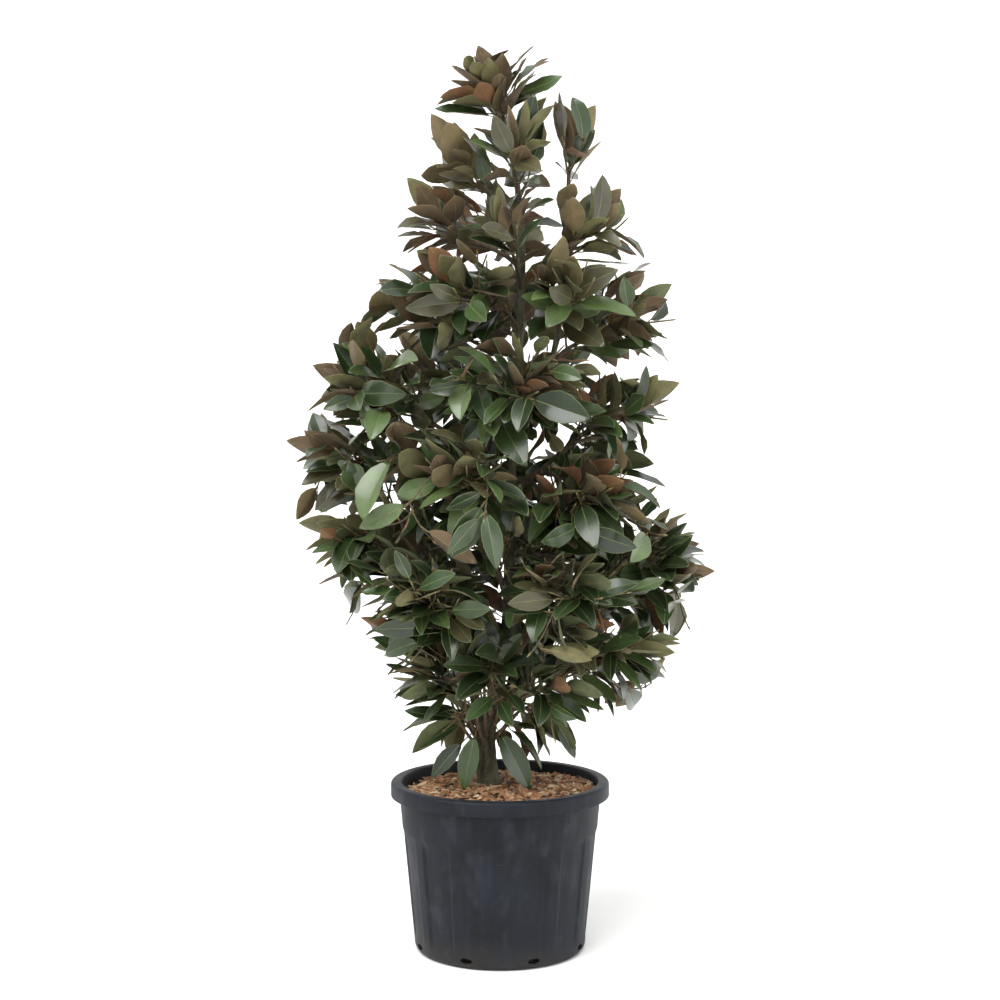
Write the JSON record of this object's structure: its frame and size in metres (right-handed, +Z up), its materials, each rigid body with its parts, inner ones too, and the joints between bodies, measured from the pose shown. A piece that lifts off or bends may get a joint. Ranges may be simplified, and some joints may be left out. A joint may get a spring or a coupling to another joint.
{
  "type": "potted magnolia tree",
  "caption": "Young evergreen magnolia with a forked trunk and broad leathery leaves, growing in a round ribbed plant pot topped with bark mulch.",
  "frame": {"origin": "centre of the pot's flat underside", "axes": "+Z up along the tree, +X to the right and +Y to the back when the tree is seen from its front"},
  "size_m": [1.1772, 0.8931, 2.461],
  "materials": {
    "pot": "black moulded plastic, dull with a grey bloom of dust and fine scuffs",
    "mulch": "loose bark chips, rough, tan to dark brown",
    "bark": "smooth grey-brown bark with pale lenticels and leaf scars, redder on young shoots",
    "foliage": "leathery leaves, glossy dark green above with a pale midrib, felted olive to rust brown below"
  },
  "bodies": {
    "root": {"bough_belly_back_left": "bark", "bough_belly_back_right": "bark", "bough_belly_front_left": "bark", "bough_belly_front_right": "bark", "bough_belly_left": "bark", "bough_belly_right": "bark", "bough_low_back_left": "bark", "bough_low_back_right": "bark", "bough_low_front": "bark", "bough_low_left": "bark", "bough_low_right": "bark", "bough_shoulder_left": "bark", "bough_shoulder_right": "bark", "bough_waist_back": "bark", "bough_waist_back_right": "bark", "bough_waist_front_left": "bark", "bough_waist_front_right": "bark", "bough_waist_left": "bark", "foliage_belly_back_left": "foliage", "foliage_belly_back_right": "foliage", "foliage_belly_front_left": "foliage", "foliage_belly_front_right": "foliage", "foliage_belly_left": "foliage", "foliage_belly_right": "foliage", "foliage_crest_back": "foliage", "foliage_crest_front": "foliage", "foliage_crest_left": "foliage", "foliage_crest_right": "foliage", "foliage_fork_left": "foliage", "foliage_fork_right": "foliage", "foliage_head_back": "foliage", "foliage_head_front": "foliage", "foliage_head_left": "foliage", "foliage_head_right": "foliage", "foliage_low_back_left": "foliage", "foliage_low_back_right": "foliage", "foliage_low_front": "foliage", "foliage_low_front_left": "foliage", "foliage_low_front_right": "foliage", "foliage_low_left": "foliage", "foliage_low_right": "foliage", "foliage_neck_back": "foliage", "foliage_neck_front_left": "foliage", "foliage_neck_front_right": "foliage", "foliage_neck_left": "foliage", "foliage_neck_right": "foliage", "foliage_shoulder_back_left": "foliage", "foliage_shoulder_back_right": "foliage", "foliage_shoulder_front": "foliage", "foliage_shoulder_left": "foliage", "foliage_shoulder_right": "foliage", "foliage_top_tip": "foliage", "foliage_waist_back": "foliage", "foliage_waist_back_right": "foliage", "foliage_waist_front_left": "foliage", "foliage_waist_front_right": "foliage", "foliage_waist_left": "foliage", "pot": "pot", "soil": "mulch", "trunk": "bark"}
  },
  "joints": []
}
